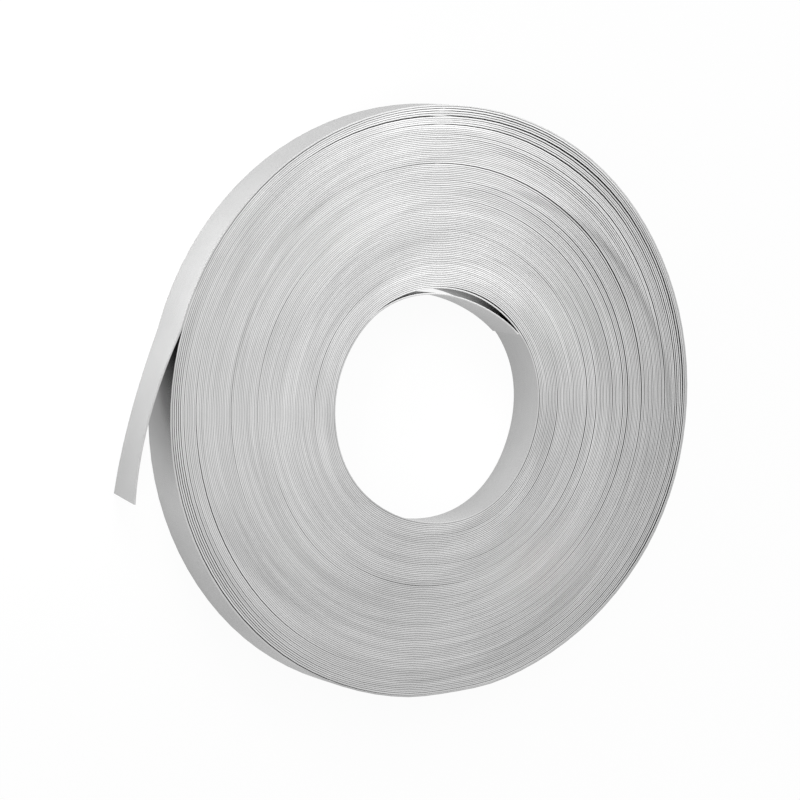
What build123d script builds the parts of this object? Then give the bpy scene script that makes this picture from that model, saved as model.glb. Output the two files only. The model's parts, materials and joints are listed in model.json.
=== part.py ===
from build123d import *
import os
from math import cos, degrees, radians, sin

# A coil of narrow bright steel strip, lying on its end, with its outer end sprung open.
# The coil's axis is Z, its front end faces up, and the origin is the middle of its eye.
# Lengths are in millimetres and angles in degrees, from +X towards +Y.

# The strip and its winding
strip_width = 20.0
strip_thickness = 0.7
turn_clearance = 0.03
turn_count = 100
eye_radius = 47.5

# Loose turns, whose gaps stand open on both ends, as shares of the wound build
loose_gap = 0.4
loose_gap_depth = 1.5
loose_turn_shares = (0.13, 0.33, 0.39, 0.51, 0.60, 0.69, 0.84, 0.90, 0.94, 0.97)

# The outer end, kinked away from the rim and bent back a little
tail_angle = 162.0
tail_lift = 9.5
tail_bend_radius = 210.0
tail_length = 70.5
tail_cut_skew = 6.0

# The inner end, a flattened lap that stands in from the eye's wall and springs back to it
lap_root_angle = 127.0
lap_dip_angle = 74.0
lap_end_angle = 35.0
lap_dip = 3.3
lap_end_clearance = 0.3

turn_pitch = strip_thickness + turn_clearance
wound_build = turn_count * turn_pitch
coil_radius = eye_radius + wound_build


def polar_point(radius, angle):
    """The point at a radius from the coil's axis and an angle round it."""
    return (radius * cos(radians(angle)), radius * sin(radians(angle)))


def strip_section(path):
    """The plane across the start of a strip's path, with the strip's width along the coil's axis."""
    return Plane(origin=path @ 0, x_dir=Vector(0, 0, 1), z_dir=path % 0)


# The outer end: it leaves from within the last turn, and its tip is cut a little askew
with BuildPart() as outer_tail:
    skew_overrun = strip_width / 2 * sin(radians(tail_cut_skew)) + strip_thickness
    tail_run = tail_length + skew_overrun
    with BuildLine() as tail_path:
        JernArc(
            start=polar_point(coil_radius - strip_thickness, tail_angle),
            tangent=polar_point(1, tail_angle + 90 - tail_lift),
            radius=tail_bend_radius,
            arc_size=degrees(tail_run / tail_bend_radius),
        )
    with BuildSketch(strip_section(tail_path.line)):
        Rectangle(strip_width, strip_thickness)
    sweep(path=tail_path.line)
    tip_share = tail_length / tail_run
    along_tip = (tail_path.line % tip_share) * cos(radians(tail_cut_skew))
    across_tip = Vector(0, 0, -1) * sin(radians(tail_cut_skew))
    split(bisect_by=Plane(tail_path.line @ tip_share, z_dir=along_tip + across_tip), keep=Keep.BOTTOM)

# The inner end: one flat arc from within the first turn to its free tip near the eye's wall
with BuildPart() as inner_lap:
    with BuildLine() as lap_path:
        ThreePointArc(
            polar_point(eye_radius + strip_thickness, lap_root_angle),
            polar_point(eye_radius - lap_dip, lap_dip_angle),
            polar_point(eye_radius - lap_end_clearance - strip_thickness / 2, lap_end_angle),
        )
    with BuildSketch(strip_section(lap_path.line)):
        Rectangle(strip_width, strip_thickness)
    sweep(path=lap_path.line)

# The coil: the wound turns as one turned ring with its eye, and the strip's two ends
with BuildPart() as strip_coil:
    with BuildSketch(Plane.XZ) as turned_section:
        with Locations((eye_radius + wound_build / 2, strip_width / 4)):
            Rectangle(wound_build, strip_width / 2)
        for share in loose_turn_shares:
            with Locations((eye_radius + share * wound_build, strip_width / 2)):
                gap_mouth = ((-loose_gap / 2, 0), (loose_gap / 2, 0))
                Polygon(*gap_mouth, (0, -loose_gap_depth), align=None, mode=Mode.SUBTRACT)
        mirror(about=Plane.XZ)
    revolve(axis=Axis.Z)
    add(outer_tail.part)
    add(inner_lap.part)
strip_coil.part.label = "strip_coil"

os.makedirs("parts", exist_ok=True)
export_step(strip_coil.part, "parts/strip_coil.step")
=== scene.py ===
import json
from math import cos, radians, sin

import bpy
import numpy as np
from mathutils import Matrix, Vector


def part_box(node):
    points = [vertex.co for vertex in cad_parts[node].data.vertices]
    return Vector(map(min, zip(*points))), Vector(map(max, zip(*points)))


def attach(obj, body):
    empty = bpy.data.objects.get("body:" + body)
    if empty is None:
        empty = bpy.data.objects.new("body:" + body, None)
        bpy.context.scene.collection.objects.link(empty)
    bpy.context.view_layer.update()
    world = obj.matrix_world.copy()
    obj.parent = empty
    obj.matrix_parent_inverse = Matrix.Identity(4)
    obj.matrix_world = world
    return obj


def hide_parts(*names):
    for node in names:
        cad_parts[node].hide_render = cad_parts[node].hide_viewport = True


# A coil of narrow bright steel strip, lying on its end: one long strip, wound turn on turn.
# Lengths are in metres, and angles in degrees from +X towards +Y.

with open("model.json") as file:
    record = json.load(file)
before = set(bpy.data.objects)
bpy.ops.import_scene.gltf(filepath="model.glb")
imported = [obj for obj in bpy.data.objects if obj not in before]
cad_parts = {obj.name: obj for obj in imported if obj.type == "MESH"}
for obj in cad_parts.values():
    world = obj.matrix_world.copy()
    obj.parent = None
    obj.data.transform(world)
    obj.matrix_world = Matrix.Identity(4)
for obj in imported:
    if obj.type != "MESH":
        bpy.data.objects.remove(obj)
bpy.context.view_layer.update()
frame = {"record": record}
coil_low, coil_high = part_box("strip_coil")
mounts = {mount["name"]: mount for mount in frame["record"]["mounts"]}

MM = 0.001

# The strip and what it keeps off the solid's box
RIM_PLAY = 0.25 * MM
EDGE_PLAY = 0.1 * MM
RIM_RADIUS = coil_high.x - RIM_PLAY
EYE_RADIUS = mounts["eye"]["dims"]["r_mm"] * MM
STRIP_WIDTH = coil_high.z - coil_low.z - 2 * EDGE_PLAY
STRIP_THICKNESS = 0.67 * MM

# The slit edges: rolled over outside, a burr inside, and both drawn out along the strip's width
SLIT_ROLLOVER = 0.34 * MM
SLIT_BURR = 0.08 * MM
SLIT_SQUASH_SHARE = 0.3
SLIT_FACETS = 1

# How far out from its middle the strip has its corners and its walls, as shares of its thickness
CORNER_SHARE = 0.4
WALL_SHARE = 0.45

# The mesh
MERGE_GAP = 0.002 * MM
SMOOTH_ANGLE = 40.0

# The winding, from the tip of the inner end to the root of the outer end
STEPS_PER_TURN = 96
INNER_TIP_ANGLE = 35.2
OUTER_ROOT_ANGLE = 162.0
FULL_TURNS = 99

# Where the eye and the rim are out of round: middle angle, half spread and depth
EYE_DENTS = (
    (10.0, 85.0, -0.75 * MM),
    (68.0, 65.0, -1.65 * MM),
    (150.0, 50.0, -0.3 * MM),
    (215.0, 35.0, 0.5 * MM),
    (300.0, 45.0, 1.4 * MM),
)
RIM_DENTS = (
    (48.0, 24.0, 0.25 * MM),
    (95.0, 38.0, -0.5 * MM),
    (266.5, 44.0, -1.3 * MM),
    (273.0, 11.5, -0.8 * MM),
    (300.0, 30.5, -1.0 * MM),
    (339.0, 21.0, 0.3 * MM),
)

# How far the back end's turns lie off the front's, along X and Y at the eye, and the share left at the rim
BACK_SHIFT = (0.5 * MM, -0.8 * MM)
BACK_SHIFT_RIM_SHARE = 0.3

# The inner end, a flattened lap that stands in from the eye's wall
LAP_ROOT_ANGLE = 130.0
LAP_BACK_ANGLE = 34.0
LAP_DIP = 2.25 * MM
LAP_LEAN = -0.8
LAP_LATE = 1.4

# The outer end, sprung away from the rim
TAIL_LENGTH = 70.5 * MM
TAIL_KINK_LENGTH = 5.0 * MM
TAIL_LIFT = 7.5
TAIL_TURN = 18.0
TAIL_EARLY_SHARE = 0.65
TAIL_STEP = 1.5 * MM
TAIL_SPARE = 3.0 * MM
TAIL_TIP_REACH = 2 * TAIL_SPARE
TAIL_LEAN = 5.0
TAIL_TIP_LEAN = 2.0
TAIL_CUT_SKEW = 6.0
TAIL_ROOT_STEPS = 2

# Loose turns: the share of the build, the middle and half spread of the gap's angle, and its width
LOOSE_TURNS = (
    (0.01, 340.0, 45.0, 0.12 * MM),
    (0.012, 58.0, 40.0, 0.40 * MM),
    (0.12, 155.0, 60.0, 0.12 * MM),
    (0.125, 340.0, 60.0, 0.20 * MM),
    (0.327, 45.0, 42.0, 0.12 * MM),
    (0.335, 350.0, 55.0, 0.20 * MM),
    (0.36, 257.0, 40.0, 0.12 * MM),
    (0.395, 352.0, 60.0, 0.20 * MM),
    (0.418, 215.0, 45.0, 0.12 * MM),
    (0.476, 155.0, 40.0, 0.10 * MM),
    (0.505, 30.0, 80.0, 0.22 * MM),
    (0.575, 20.0, 95.0, 0.28 * MM),
    (0.605, 15.0, 105.0, 0.30 * MM),
    (0.64, 182.0, 45.0, 0.12 * MM),
    (0.684, 35.0, 60.0, 0.24 * MM),
    (0.694, 40.0, 95.0, 0.40 * MM),
    (0.8, 50.0, 45.0, 0.14 * MM),
    (0.81, 50.0, 45.0, 0.14 * MM),
    (0.82, 52.0, 45.0, 0.14 * MM),
    (0.83, 54.0, 45.0, 0.16 * MM),
    (0.84, 56.0, 45.0, 0.14 * MM),
    (0.852, 205.0, 55.0, 0.32 * MM),
    (0.858, 35.0, 75.0, 0.30 * MM),
    (0.875, 320.0, 60.0, 0.16 * MM),
    (0.9, 215.0, 50.0, 0.14 * MM),
    (0.9062, 48.0, 28.0, 0.36 * MM),
    (0.9062, 75.0, 45.0, 0.34 * MM),
    (0.9157, 26.0, 22.0, 0.30 * MM),
    (0.9167, 62.0, 42.0, 0.22 * MM),
    (0.9206, 205.0, 55.0, 0.16 * MM),
    (0.9251, 3.0, 28.0, 0.26 * MM),
    (0.9257, 24.0, 24.0, 0.20 * MM),
    (0.934, 330.0, 60.0, 0.22 * MM),
    (0.9352, 3.0, 26.0, 0.18 * MM),
    (0.9363, 55.0, 45.0, 0.34 * MM),
    (0.941, 205.0, 60.0, 0.26 * MM),
    (0.9459, 25.0, 24.0, 0.26 * MM),
    (0.9465, 50.0, 30.0, 0.54 * MM),
    (0.9472, 90.0, 48.0, 0.50 * MM),
    (0.951, 200.0, 60.0, 0.22 * MM),
    (0.9554, 6.0, 24.0, 0.28 * MM),
    (0.9559, 24.0, 20.0, 0.42 * MM),
    (0.957, 80.0, 50.0, 0.16 * MM),
    (0.961, 200.0, 60.0, 0.22 * MM),
    (0.9645, 332.0, 36.0, 0.28 * MM),
    (0.9655, 7.0, 20.0, 0.45 * MM),
    (0.967, 72.0, 55.0, 0.28 * MM),
    (0.971, 195.0, 60.0, 0.22 * MM),
    (0.9746, 335.0, 38.0, 0.38 * MM),
    (0.977, 72.0, 55.0, 0.26 * MM),
    (0.981, 220.0, 60.0, 0.36 * MM),
    (0.987, 82.0, 45.0, 0.10 * MM),
    (0.9889, 125.0, 32.0, 0.20 * MM),
)

# The last turns lie so tight over part of the rim that no line shows between them, so the painted shade
# between them is taken away there
TIGHT_TURNS = 2
TIGHT_ANGLE = 345.0
TIGHT_SPREAD = 170.0

# Where the light falls straight into the gaps of the outer turns, they are less dark
LIT_TURNS = 11
LIT_ANGLE = 90.5
LIT_SPREAD = 20.0
LIT_SHARE = 0.95

# The strip's edges stand a little in or out from turn to turn
EDGE_WANDER = 0.035 * MM
WANDERS_PER_TURN = 3
WANDER_SEED = 7

# The finish of the strip's faces and of its slit edges, and the painted shade in the gaps between its
# turns
METALLIC_SHARE = 1.0
FACE_GREY = 0.47
FACE_ROUGHNESS = 0.26
EDGE_GREY = 0.685
EDGE_ROUGHNESS = 0.42
EDGE_START = 0.2 * MM
EDGE_FULL = 0.12 * MM
# Painted shade in the gaps between the turns: the grey share at its darkest, and how sharply it comes on
GAP_SHADE_SHARE = 0.2
GAP_SHARPNESS = 2.5

# Lines along the strip: how fast they change around the coil and across the strip, and their detail
FINE_LINES = (4.0, 5000.0, 1.0)
TURN_LINES = (1.2, 1100.0, 1.0)
BROAD_LINES = (1.0, 180.0, 2.0)
LINE_SCALE = 1.0
LINE_ROUGHNESS = 0.55
LINE_SPAN = (0.3, 0.7)
FINE_TONE_SHARES = (0.98, 1.02)
TURN_TONE_SHARES = (0.92, 1.07)
BROAD_TONE_SHARES = (0.94, 1.06)
FINE_LINE_STRENGTH = 0.1
FINE_LINE_DEPTH = 0.02 * MM

# The tone from the eye out to the rim, and of the first and last turn, which are handled most
BUILD_TONE_SHARES = (1.03, 0.97)
HANDLED_TONE_SHARE = 0.82

# Smudges all over the strip
SMUDGE_SCALE = 35.0
SMUDGE_DETAIL = 4.0
SMUDGE_ROUGHNESS = 0.6
SMUDGE_SPAN = (0.35, 0.65)
SMUDGE_TONE_SHARES = (0.96, 1.02)

# Faint painted shade and sheen all over the end, in bands where the turns tilt a little differently,
# turned round the coil by so many radians for each metre from its axis
TILT_SHADE_TWIST = 58.0
FAINT_TILT_SHADE_SCALE = 28.0
FAINT_TILT_SHADE_DETAIL = 3.0
FAINT_TILT_SHADE_DISTORTION = 0.6
FAINT_TILT_SHADE_SPAN = (0.5, 0.68)
FAINT_TILT_SHADE_TONE_SHARES = (1.02, 0.94)

# Single patches of painted shade and painted sheen: middle angle, share of the build, half length, half
# width, tone share
TILT_SHADE_PATCHES = (
    (28.0, 0.22, 24.0 * MM, 40.0 * MM, 1.13),
    (33.0, 0.735, 17.0 * MM, 15.0 * MM, 0.69),
    (100.0, 0.85, 12.0 * MM, 40.0 * MM, 1.05),
    (108.0, 0.2, 20.0 * MM, 45.0 * MM, 0.93),
    (131.0, 0.67, 9.0 * MM, 18.0 * MM, 0.88),
    (222.0, 0.74, 14.0 * MM, 20.0 * MM, 0.87),
    (238.0, 0.46, 12.0 * MM, 16.0 * MM, 0.93),
    (300.0, 0.79, 9.0 * MM, 28.0 * MM, 0.86),
)

# A whole range, and the share that leaves a tone as it is
WHOLE_SPAN = (0.0, 1.0)
SAME_SHARE = 1.0

# The factor that leaves only a place's X and Y
ONLY_XY = (1.0, 1.0, 0.0)

# The floor, and how white it is where it is seen and where the steel mirrors it
FLOOR_SIZE = 6.0
FLOOR_GAP = 0.05 * MM
FLOOR_GREY = 0.7
FLOOR_SEEN_WHITE_SHARE = 0.94
FLOOR_MIRRORED_WHITE_SHARE = 0.45
WHITE = (1.0, 1.0, 1.0, 1.0)
WHITE_STRENGTH = 1.0

# The room's light, and how it changes along X, Y and Z
ROOM_LEVEL = 0.9
ROOM_SLOPE = (-0.17, 0.42, 0.2)
ROOM_BRIGHTEST = 1.2

# The lamps
TOP_LAMP_PLACE = (0.25, 0.45, 0.5)
TOP_LAMP_AIM = (0.0, 0.0, 0.0)
TOP_LAMP_WIDTH = 0.9
TOP_LAMP_HEIGHT = 0.4
TOP_LAMP_POWER = 1.3
RIM_LAMP_PLACE = (-0.155, 0.085, 0.09)
RIM_LAMP_SIZE = 0.06
RIM_LAMP_POWER = 0.32
EYE_LAMP_PLACE = (0.031, -0.026, 0.025)
EYE_LAMP_SIZE = 0.02
EYE_LAMP_POWER = 0.0095

# The camera
CAMERA_PLACE = (-0.76828, 0.17737, 1.31593)
CAMERA_LAID_BACK = -90.0
CAMERA_SWING = -29.881
CAMERA_LEVEL = 90.0
CAMERA_TILT = 6.61
CAMERA_LENS = 171.16
CAMERA_SENSOR_WIDTH = 36.0
CAMERA_REACH = 20.0


def deselect_all():
    """Leaves nothing selected, so that an operator acts only on what is selected next."""
    bpy.ops.object.select_all(action="DESELECT")


def hump(distance, half_spread):
    """A smooth hump, 1 in the middle and 0 from half_spread on."""
    inside = np.clip(np.abs(distance) / half_spread, 0, 1)
    return np.cos(inside * np.pi / 2) ** 2


def smooth_rise(share):
    """A smooth step from 0 to 1."""
    inside = np.clip(share, 0, 1)
    return inside * inside * (3 - 2 * inside)


def angle_apart(angles, middle):
    """The signed distance of angles from a middle angle, round the circle."""
    return (angles - middle + 180) % 360 - 180


def dented(radius, dents, angles):
    """A circle's radius at angles, with its dents."""
    radii = np.full(len(angles), radius)
    for middle, half_spread, depth in dents:
        radii += depth * hump(angle_apart(angles, middle), half_spread)
    return radii


def wound_turns():
    """The middle line of the wound strip: angles, radii and leans, from the inner tip outwards."""
    turns = FULL_TURNS + (OUTER_ROOT_ANGLE - INNER_TIP_ANGLE) / 360
    count = round(turns * STEPS_PER_TURN) + 1
    places = np.linspace(0, turns, count)
    angles = INNER_TIP_ANGLE + 360 * places

    gaps = np.zeros(count)
    for share, middle, half_spread, width in LOOSE_TURNS:
        part_turn = (middle - INNER_TIP_ANGLE) / 360
        loose_place = round(share * turns - part_turn) + part_turn
        gaps += width * hump((places - loose_place) * 360, half_spread)

    pitch = (RIM_RADIUS - EYE_RADIUS - STRIP_THICKNESS) / (turns - 1)
    inner = dented(EYE_RADIUS, EYE_DENTS, angles) + STRIP_THICKNESS / 2 + pitch * (places - 1 / 2)
    outer = dented(RIM_RADIUS, RIM_DENTS, angles) - STRIP_THICKNESS / 2
    outer += pitch * (places - turns + 1 / 2)
    radii = np.zeros(count)
    for step in range(STEPS_PER_TURN):
        at_angle = slice(step, count, STEPS_PER_TURN)
        loose = gaps[at_angle][:-1]
        spare = outer[at_angle][-1] - inner[step] - STRIP_THICKNESS * len(loose) - loose.sum()
        pitches = STRIP_THICKNESS + loose + spare / len(loose)
        radii[at_angle] = inner[step] + np.concatenate([[0], np.cumsum(pitches)])

    lap_share = np.clip((LAP_ROOT_ANGLE - angles) / (LAP_ROOT_ANGLE - LAP_BACK_ANGLE), 0, 1)
    lap_curve = np.sin(np.pi * lap_share ** LAP_LATE)
    turned = np.radians(angles)
    shifts = BACK_SHIFT[0] * np.cos(turned) + BACK_SHIFT[1] * np.sin(turned)
    shifts *= 1 - (1 - BACK_SHIFT_RIM_SHARE) * places / turns
    leans = LAP_LEAN * lap_curve - np.degrees(shifts / STRIP_WIDTH)
    return angles, radii + shifts / 2 - LAP_DIP * lap_curve, leans


def edge_offsets(count):
    """How far the strip's edges stand in or out along the axis, at each step of the winding."""
    turns = count / STEPS_PER_TURN
    knots = np.arange(0, turns + 1, 1 / WANDERS_PER_TURN)
    stands = np.random.default_rng(WANDER_SEED).normal(0, EDGE_WANDER, len(knots))
    offsets = np.interp(np.arange(count) / STEPS_PER_TURN, knots, stands)
    return np.clip(offsets, -EDGE_PLAY, EDGE_PLAY)


def tail_run(root, root_lean):
    """The middle line of the sprung outer end from its root on, its leans, and its tip and heading."""
    runs = np.arange(TAIL_STEP, TAIL_LENGTH + TAIL_SPARE, TAIL_STEP)
    shares = runs / TAIL_LENGTH
    turned = TAIL_TURN * (TAIL_EARLY_SHARE * shares + (1 - TAIL_EARLY_SHARE) * shares ** 2)
    lifted = TAIL_LIFT * smooth_rise(runs / TAIL_KINK_LENGTH)
    headings = np.radians(OUTER_ROOT_ANGLE + 90 - lifted + turned)
    ways = np.stack([np.cos(headings), np.sin(headings), 0 * headings], axis=1)
    points = root + np.cumsum(TAIL_STEP * ways, axis=0)
    arch = 4 * shares * (1 - shares)
    leans = root_lean * (1 - shares) + TAIL_LEAN * arch + TAIL_TIP_LEAN * shares ** 2
    last = np.searchsorted(runs, TAIL_LENGTH) - 1
    tip = points[last] + (TAIL_LENGTH - runs[last]) * ways[last]
    return points, leans, tip, ways[last]


def strip_section():
    """The strip's cross-section as a closed curve: rolled over outside, a small burr inside."""
    deselect_all()
    bpy.ops.mesh.primitive_plane_add(size=1)
    section = bpy.context.object
    section.name = "strip_section"
    section.scale = (STRIP_THICKNESS, STRIP_WIDTH / SLIT_SQUASH_SHARE, 1)
    bpy.ops.object.transform_apply(location=False, rotation=False, scale=True)
    for side, offset in ((1, SLIT_ROLLOVER), (-1, SLIT_BURR)):
        bpy.ops.object.mode_set(mode="EDIT")
        bpy.ops.mesh.select_mode(type="VERT")
        bpy.ops.mesh.select_all(action="DESELECT")
        bpy.ops.object.mode_set(mode="OBJECT")
        for corner in section.data.vertices:
            corner.select = corner.co.x * side > STRIP_THICKNESS * CORNER_SHARE
        bpy.ops.object.mode_set(mode="EDIT")
        bpy.ops.mesh.bevel(offset=offset, affect="VERTICES", segments=SLIT_FACETS)
    bpy.ops.mesh.select_all(action="SELECT")
    bpy.ops.mesh.delete(type="ONLY_FACE")
    bpy.ops.object.mode_set(mode="OBJECT")
    section.scale = (1, SLIT_SQUASH_SHARE, 1)
    bpy.ops.object.transform_apply(location=False, rotation=False, scale=True)
    bpy.ops.object.convert(target="CURVE")
    return bpy.context.object


def add_mark(mesh, name, values):
    """Keeps a value at each point of a mesh, for its material to read."""
    mark = mesh.attributes.new(name, "FLOAT", "POINT")
    mark.data.foreach_set("value", values)


def mark_turns(strip, points, tilts, wound_count):
    """Marks the walls that lie against another turn, which get painted shade, and the first and last turn.
    """
    mesh = strip.data
    vertex_count = len(mesh.vertices)
    places = np.zeros(vertex_count * 3)
    mesh.vertices.foreach_get("co", places)
    per_ring = vertex_count // len(points)
    swept = slice(vertex_count - per_ring * len(points), vertex_count)
    rings = np.repeat(np.arange(len(points)), per_ring)
    across, along, height = places.reshape(-1, 3)[swept].T
    outwards = np.hypot(across, along) - np.hypot(points[rings, 0], points[rings, 1])
    upwards = height - points[rings, 2]
    reach = outwards * np.cos(tilts[rings]) - upwards * np.sin(tilts[rings])
    around = np.degrees(np.arctan2(along, across))

    lap_steps = int((LAP_ROOT_ANGLE - INNER_TIP_ANGLE) / 360 * STEPS_PER_TURN)
    last_covered = wound_count - STEPS_PER_TURN - TAIL_ROOT_STEPS
    wall = STRIP_THICKNESS * WALL_SHARE
    outside = (reach > wall) & (rings > lap_steps) & (rings < last_covered)
    inside = (reach < -wall) & (rings > STEPS_PER_TURN + lap_steps) & (rings < wound_count)
    first_tight = wound_count - TIGHT_TURNS * STEPS_PER_TURN
    tight = np.where(outside, rings > first_tight, rings > first_tight + STEPS_PER_TURN)
    lightened = tight * hump(angle_apart(around, TIGHT_ANGLE), TIGHT_SPREAD)
    lit = LIT_SHARE * hump(angle_apart(around, LIT_ANGLE), LIT_SPREAD)
    lit = lit * (rings > wound_count - LIT_TURNS * STEPS_PER_TURN)

    # Painted shade on the walls that lie against another turn, lighter where the turns lie tight and where
    # the light falls into the gaps
    gap_shade = np.zeros(vertex_count)
    gap_shade[swept] = (outside | inside) * (1 - lightened) * (1 - lit)
    add_mark(mesh, "shade_between_turns", gap_shade)
    handled = np.zeros(vertex_count)
    handled[swept] = (rings < STEPS_PER_TURN) | (rings > wound_count - STEPS_PER_TURN)
    add_mark(mesh, "handled_turns", handled)


def cut_tail_askew(strip, tip, way):
    """Cuts the outer end's tip a little askew."""
    skew = radians(TAIL_CUT_SKEW)
    across = Vector(way) * cos(skew) - Vector((0, 0, 1)) * sin(skew)
    bpy.ops.object.mode_set(mode="EDIT")
    bpy.ops.mesh.select_mode(type="FACE")
    bpy.ops.mesh.select_all(action="DESELECT")
    bpy.ops.object.mode_set(mode="OBJECT")
    for face in strip.data.polygons:
        face.select = (face.center - Vector(tip)).xy.length < TAIL_TIP_REACH
    bpy.ops.object.mode_set(mode="EDIT")
    bpy.ops.mesh.bisect(plane_co=tip, plane_no=across, use_fill=True, clear_outer=True)
    bpy.ops.object.mode_set(mode="OBJECT")


def wind_strip():
    """Sweeps the section along the whole strip and makes one closed mesh of it."""
    angles, radii, leans = wound_turns()
    turned = np.radians(angles)
    offsets = edge_offsets(len(angles))
    wound = np.stack([radii * np.cos(turned), radii * np.sin(turned), offsets], axis=1)
    tail, tail_leans, tip, way = tail_run(wound[-1], leans[-1])
    points = np.concatenate([wound, tail])
    tilts = np.radians(np.concatenate([leans, tail_leans]))

    section = strip_section()
    line = bpy.data.curves.new("wound_strip", "CURVE")
    line.dimensions = "3D"
    line.twist_mode = "Z_UP"
    spline = line.splines.new("POLY")
    spline.points.add(len(points) - 1)
    weighted = np.concatenate([points, np.ones((len(points), 1))], axis=1)
    spline.points.foreach_set("co", weighted.ravel())
    spline.points.foreach_set("tilt", tilts)
    line.bevel_mode = "OBJECT"
    line.bevel_object = section
    line.use_fill_caps = True
    strip = bpy.data.objects.new("wound_strip", line)
    bpy.context.scene.collection.objects.link(strip)
    deselect_all()
    strip.select_set(True)
    bpy.context.view_layer.objects.active = strip
    bpy.ops.object.convert(target="MESH")
    bpy.data.objects.remove(section)
    mark_turns(strip, points, tilts, len(wound))
    bpy.ops.object.mode_set(mode="EDIT")
    bpy.ops.mesh.select_all(action="SELECT")
    bpy.ops.mesh.remove_doubles(threshold=MERGE_GAP)
    bpy.ops.mesh.normals_make_consistent(inside=False)
    bpy.ops.object.mode_set(mode="OBJECT")
    cut_tail_askew(strip, tip, way)
    bpy.ops.object.shade_smooth_by_angle(angle=radians(SMOOTH_ANGLE))
    return strip


def add_node(tree, kind, inputs=None, **options):
    """A node with its options and the values of its sockets."""
    node = tree.nodes.new(kind)
    for option, value in options.items():
        setattr(node, option, value)
    for socket, value in (inputs or {}).items():
        node.inputs[socket].default_value = value
    return node


def wound_lines_group():
    """Noise drawn out along the strip: long around the coil, fine across the strip's face and edges."""
    group = bpy.data.node_groups.new("wound_lines", "ShaderNodeTree")
    group.interface.new_socket("Position", in_out="INPUT", socket_type="NodeSocketVector")
    for name in ("Around", "Across", "Detail"):
        group.interface.new_socket(name, in_out="INPUT", socket_type="NodeSocketFloat")
    group.interface.new_socket("Value", in_out="OUTPUT", socket_type="NodeSocketFloat")
    links = group.links
    source = add_node(group, "NodeGroupInput")
    result = add_node(group, "NodeGroupOutput")
    flat = add_node(group, "ShaderNodeVectorMath", {1: ONLY_XY}, operation="MULTIPLY")
    links.new(source.outputs["Position"], flat.inputs[0])
    radius = add_node(group, "ShaderNodeVectorMath", operation="LENGTH")
    links.new(flat.outputs["Vector"], radius.inputs[0])
    way = add_node(group, "ShaderNodeVectorMath", operation="NORMALIZE")
    links.new(flat.outputs["Vector"], way.inputs[0])
    around = add_node(group, "ShaderNodeVectorMath", operation="SCALE")
    links.new(way.outputs["Vector"], around.inputs[0])
    links.new(source.outputs["Around"], around.inputs["Scale"])
    height = add_node(group, "ShaderNodeSeparateXYZ")
    links.new(source.outputs["Position"], height.inputs["Vector"])
    reach = add_node(group, "ShaderNodeMath", operation="ADD")
    links.new(radius.outputs["Value"], reach.inputs[0])
    links.new(height.outputs["Z"], reach.inputs[1])
    across = add_node(group, "ShaderNodeMath", operation="MULTIPLY")
    links.new(reach.outputs["Value"], across.inputs[0])
    links.new(source.outputs["Across"], across.inputs[1])
    rise = add_node(group, "ShaderNodeCombineXYZ")
    links.new(across.outputs["Value"], rise.inputs["Z"])
    spot = add_node(group, "ShaderNodeVectorMath", operation="ADD")
    links.new(around.outputs["Vector"], spot.inputs[0])
    links.new(rise.outputs["Vector"], spot.inputs[1])
    noise = add_node(group, "ShaderNodeTexNoise", {"Scale": LINE_SCALE, "Roughness": LINE_ROUGHNESS})
    links.new(spot.outputs["Vector"], noise.inputs["Vector"])
    links.new(source.outputs["Detail"], noise.inputs["Detail"])
    links.new(noise.outputs["Fac"], result.inputs["Value"])
    return group


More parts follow.
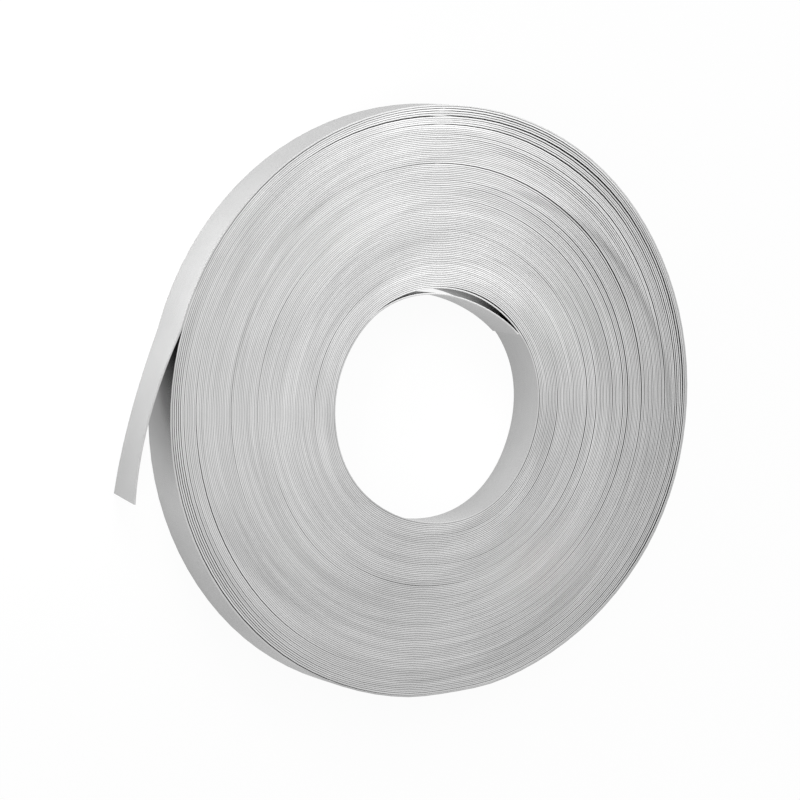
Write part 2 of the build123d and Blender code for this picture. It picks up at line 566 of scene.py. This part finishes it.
def rolled_steel(lines):
    """Bright rolled strip: fine lines along it, slit edges that differ from turn to turn, painted shade
    between the turns, and painted shade and sheen in bands across them.
    """
    material = bpy.data.materials.new("rolled_steel")
    material.use_nodes = True
    tree = material.node_tree
    tree.nodes.clear()
    links = tree.links
    place = add_node(tree, "ShaderNodeTexCoord")

    def drawn_lines(around, across, detail):
        values = {"Around": around, "Across": across, "Detail": detail}
        node = add_node(tree, "ShaderNodeGroup", values, node_tree=lines)
        links.new(place.outputs["Object"], node.inputs["Position"])
        return node.outputs["Value"]

    def spread(value, span, tones):
        low, high = span
        to_low, to_high = tones
        limits = {"From Min": low, "From Max": high, "To Min": to_low, "To Max": to_high}
        node = add_node(tree, "ShaderNodeMapRange", limits)
        links.new(value, node.inputs["Value"])
        return node.outputs["Result"]

    def times(first, second):
        node = add_node(tree, "ShaderNodeMath", operation="MULTIPLY")
        links.new(first, node.inputs[0])
        links.new(second, node.inputs[1])
        return node.outputs["Value"]

    # The lines and smudges
    fine = drawn_lines(*FINE_LINES)
    turn = drawn_lines(*TURN_LINES)
    broad = drawn_lines(*BROAD_LINES)
    smudge_look = {"Scale": SMUDGE_SCALE, "Detail": SMUDGE_DETAIL, "Roughness": SMUDGE_ROUGHNESS}
    smudge = add_node(tree, "ShaderNodeTexNoise", smudge_look)
    links.new(place.outputs["Object"], smudge.inputs["Vector"])

    # Where the slit edges are, and how far out from the axis
    height = add_node(tree, "ShaderNodeSeparateXYZ")
    links.new(place.outputs["Object"], height.inputs["Vector"])
    level = add_node(tree, "ShaderNodeMath", operation="ABSOLUTE")
    links.new(height.outputs["Z"], level.inputs[0])
    edge_span = (STRIP_WIDTH / 2 - EDGE_START, STRIP_WIDTH / 2 - EDGE_FULL)
    edge = spread(level.outputs["Value"], edge_span, WHOLE_SPAN)
    flat = add_node(tree, "ShaderNodeVectorMath", {1: ONLY_XY}, operation="MULTIPLY")
    links.new(place.outputs["Object"], flat.inputs[0])
    radius = add_node(tree, "ShaderNodeVectorMath", operation="LENGTH")
    links.new(flat.outputs["Vector"], radius.inputs[0])

    # The tone of the edges, from turn to turn and from the eye to the rim
    handled = add_node(tree, "ShaderNodeAttribute", attribute_name="handled_turns")
    handled_tone = spread(handled.outputs["Fac"], WHOLE_SPAN, (SAME_SHARE, HANDLED_TONE_SHARE))
    build_tone = spread(radius.outputs["Value"], (EYE_RADIUS, RIM_RADIUS), BUILD_TONE_SHARES)
    turn_tones = [EDGE_GREY * share for share in TURN_TONE_SHARES]
    edge_tone = spread(turn, LINE_SPAN, turn_tones)
    edge_tone = times(edge_tone, spread(broad, LINE_SPAN, BROAD_TONE_SHARES))
    edge_tone = times(times(edge_tone, build_tone), handled_tone)

    # Painted shade and sheen in bands across the turns, where they tilt a little differently
    twist = add_node(tree, "ShaderNodeMath", {1: TILT_SHADE_TWIST}, operation="MULTIPLY")
    links.new(radius.outputs["Value"], twist.inputs[0])
    twisted = add_node(tree, "ShaderNodeVectorRotate", rotation_type="Z_AXIS")
    links.new(place.outputs["Object"], twisted.inputs["Vector"])
    links.new(twist.outputs["Value"], twisted.inputs["Angle"])
    faint_look = {
        "Scale": FAINT_TILT_SHADE_SCALE,
        "Detail": FAINT_TILT_SHADE_DETAIL,
        "Distortion": FAINT_TILT_SHADE_DISTORTION,
    }
    faint_tilt_shade = add_node(tree, "ShaderNodeTexNoise", faint_look)
    links.new(twisted.outputs["Vector"], faint_tilt_shade.inputs["Vector"])
    faint_tone = spread(faint_tilt_shade.outputs["Fac"], FAINT_TILT_SHADE_SPAN, FAINT_TILT_SHADE_TONE_SHARES)
    edge_tone = times(edge_tone, faint_tone)
    for angle, share, half_length, half_width, tone_share in TILT_SHADE_PATCHES:
        middle = EYE_RADIUS + share * (RIM_RADIUS - EYE_RADIUS)
        heading = radians(angle) + TILT_SHADE_TWIST * middle
        patch_place = {
            "Location": (middle * cos(heading), middle * sin(heading), 0),
            "Rotation": (0, 0, heading),
            "Scale": (half_length, half_width, 1),
        }
        patch = add_node(tree, "ShaderNodeMapping", patch_place, vector_type="TEXTURE")
        links.new(twisted.outputs["Vector"], patch.inputs["Vector"])
        reach = add_node(tree, "ShaderNodeVectorMath", operation="LENGTH")
        links.new(patch.outputs["Vector"], reach.inputs[0])
        edge_tone = times(edge_tone, spread(reach.outputs["Value"], WHOLE_SPAN, (tone_share, SAME_SHARE)))

    # The whole strip's grey, with painted shade between the turns
    fine_tones = [FACE_GREY * share for share in FINE_TONE_SHARES]
    face_tone = spread(fine, LINE_SPAN, fine_tones)
    tone = add_node(tree, "ShaderNodeMix", data_type="FLOAT")
    links.new(edge, tone.inputs["Factor"])
    links.new(face_tone, tone.inputs["A"])
    links.new(edge_tone, tone.inputs["B"])
    gap_shade = add_node(tree, "ShaderNodeAttribute", attribute_name="shade_between_turns")
    depth = add_node(tree, "ShaderNodeMath", {1: GAP_SHARPNESS}, operation="POWER")
    links.new(gap_shade.outputs["Fac"], depth.inputs[0])
    gap_shade_tone = spread(depth.outputs["Value"], WHOLE_SPAN, (SAME_SHARE, GAP_SHADE_SHARE))
    smudge_tone = spread(smudge.outputs["Fac"], SMUDGE_SPAN, SMUDGE_TONE_SHARES)
    grey = times(times(tone.outputs["Result"], gap_shade_tone), smudge_tone)
    colour = add_node(tree, "ShaderNodeCombineColor")
    for channel in ("Red", "Green", "Blue"):
        links.new(grey, colour.inputs[channel])

    # The steel
    rough = spread(edge, WHOLE_SPAN, (FACE_ROUGHNESS, EDGE_ROUGHNESS))
    fine_relief = {"Strength": FINE_LINE_STRENGTH, "Distance": FINE_LINE_DEPTH}
    bump = add_node(tree, "ShaderNodeBump", fine_relief)
    links.new(fine, bump.inputs["Height"])
    steel = add_node(tree, "ShaderNodeBsdfPrincipled", {"Metallic": METALLIC_SHARE})
    links.new(colour.outputs["Color"], steel.inputs["Base Color"])
    links.new(rough, steel.inputs["Roughness"])
    links.new(bump.outputs["Normal"], steel.inputs["Normal"])
    surface = add_node(tree, "ShaderNodeOutputMaterial")
    links.new(steel.outputs["BSDF"], surface.inputs["Surface"])
    return material


def white_floor():
    """A plain white floor under the coil, which keeps a soft shadow."""
    deselect_all()
    bpy.ops.mesh.primitive_plane_add(size=FLOOR_SIZE, location=(0, 0, coil_low.z - FLOOR_GAP))
    floor = bpy.context.object
    floor.name = "studio_floor"
    material = bpy.data.materials.new("studio_white")
    material.use_nodes = True
    tree = material.node_tree
    tree.nodes.clear()
    links = tree.links
    paper = add_node(tree, "ShaderNodeBsdfDiffuse", {"Color": (FLOOR_GREY, FLOOR_GREY, FLOOR_GREY, 1)})
    glow = add_node(tree, "ShaderNodeEmission", {"Color": WHITE, "Strength": WHITE_STRENGTH})
    path = add_node(tree, "ShaderNodeLightPath")
    seen = add_node(tree, "ShaderNodeMath", {1: FLOOR_SEEN_WHITE_SHARE}, operation="MULTIPLY")
    links.new(path.outputs["Is Camera Ray"], seen.inputs[0])
    mirrored = add_node(tree, "ShaderNodeMath", {1: FLOOR_MIRRORED_WHITE_SHARE}, operation="MULTIPLY")
    links.new(path.outputs["Is Glossy Ray"], mirrored.inputs[0])
    share = add_node(tree, "ShaderNodeMath", operation="ADD")
    links.new(seen.outputs["Value"], share.inputs[0])
    links.new(mirrored.outputs["Value"], share.inputs[1])
    mix = add_node(tree, "ShaderNodeMixShader")
    links.new(share.outputs["Value"], mix.inputs["Fac"])
    links.new(paper.outputs["BSDF"], mix.inputs[1])
    links.new(glow.outputs["Emission"], mix.inputs[2])
    surface = add_node(tree, "ShaderNodeOutputMaterial")
    links.new(mix.outputs["Shader"], surface.inputs["Surface"])
    floor.data.materials.append(material)


def softbox(name, place, aim, width, height, power):
    """A soft rectangular lamp that faces a point."""
    data = bpy.data.lights.new(name, "AREA")
    data.shape = "RECTANGLE"
    data.size = width
    data.size_y = height
    data.energy = power
    lamp = bpy.data.objects.new(name, data)
    bpy.context.scene.collection.objects.link(lamp)
    lamp.location = place
    lamp.rotation_euler = (Vector(aim) - Vector(place)).to_track_quat("-Z", "Y").to_euler()
    return lamp


def paper_lamp(name, place, size, power):
    """A lamp that lights only the floor under it, which the strip's walls mirror."""
    below = (place[0], place[1], coil_low.z)
    lamp = softbox(name, place, below, size, size, power)
    lamp.visible_glossy = False


def studio_light():
    """A white room, brighter from the +Y side, a lamp above, and lamps on the floor by the rim and eye."""
    world = bpy.data.worlds.new("studio")
    bpy.context.scene.world = world
    world.use_nodes = True
    tree = world.node_tree
    tree.nodes.clear()
    links = tree.links
    place = add_node(tree, "ShaderNodeTexCoord")
    slope = add_node(tree, "ShaderNodeVectorMath", {1: ROOM_SLOPE}, operation="DOT_PRODUCT")
    links.new(place.outputs["Generated"], slope.inputs[0])
    strength = add_node(tree, "ShaderNodeMath", {1: ROOM_LEVEL}, operation="ADD")
    links.new(slope.outputs["Value"], strength.inputs[0])
    plain = add_node(tree, "ShaderNodeMath", {1: ROOM_BRIGHTEST}, operation="MINIMUM")
    links.new(strength.outputs["Value"], plain.inputs[0])
    lit = add_node(tree, "ShaderNodeBackground", {"Color": WHITE})
    links.new(plain.outputs["Value"], lit.inputs["Strength"])
    white = add_node(tree, "ShaderNodeBackground", {"Color": WHITE, "Strength": WHITE_STRENGTH})
    path = add_node(tree, "ShaderNodeLightPath")
    mix = add_node(tree, "ShaderNodeMixShader")
    links.new(path.outputs["Is Camera Ray"], mix.inputs["Fac"])
    links.new(lit.outputs["Background"], mix.inputs[1])
    links.new(white.outputs["Background"], mix.inputs[2])
    surface = add_node(tree, "ShaderNodeOutputWorld")
    links.new(mix.outputs["Shader"], surface.inputs["Surface"])
    softbox("top_softbox", TOP_LAMP_PLACE, TOP_LAMP_AIM, TOP_LAMP_WIDTH, TOP_LAMP_HEIGHT, TOP_LAMP_POWER)
    paper_lamp("rim_softbox", RIM_LAMP_PLACE, RIM_LAMP_SIZE, RIM_LAMP_POWER)
    paper_lamp("eye_softbox", EYE_LAMP_PLACE, EYE_LAMP_SIZE, EYE_LAMP_POWER)


def photo_camera():
    """The photograph's view of the standing coil, laid back with it."""
    data = bpy.data.cameras.new("photo_camera")
    data.lens = CAMERA_LENS
    data.sensor_width = CAMERA_SENSOR_WIDTH
    data.clip_end = CAMERA_REACH
    camera = bpy.data.objects.new("photo_camera", data)
    bpy.context.scene.collection.objects.link(camera)
    laid_back = Matrix.Rotation(radians(CAMERA_LAID_BACK), 4, "X")
    tilted = Matrix.Rotation(radians(CAMERA_LEVEL - CAMERA_TILT), 4, "X")
    turned = Matrix.Rotation(radians(CAMERA_SWING), 4, "Z") @ tilted
    camera.matrix_world = Matrix.Translation(CAMERA_PLACE) @ laid_back @ turned
    bpy.context.scene.camera = camera


photo_camera()
strip = wind_strip()
strip.data.materials.clear()
strip.data.materials.append(rolled_steel(wound_lines_group()))
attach(strip, "root")
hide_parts("strip_coil")
white_floor()
studio_light()
bpy.context.scene.view_settings.view_transform = "Standard"
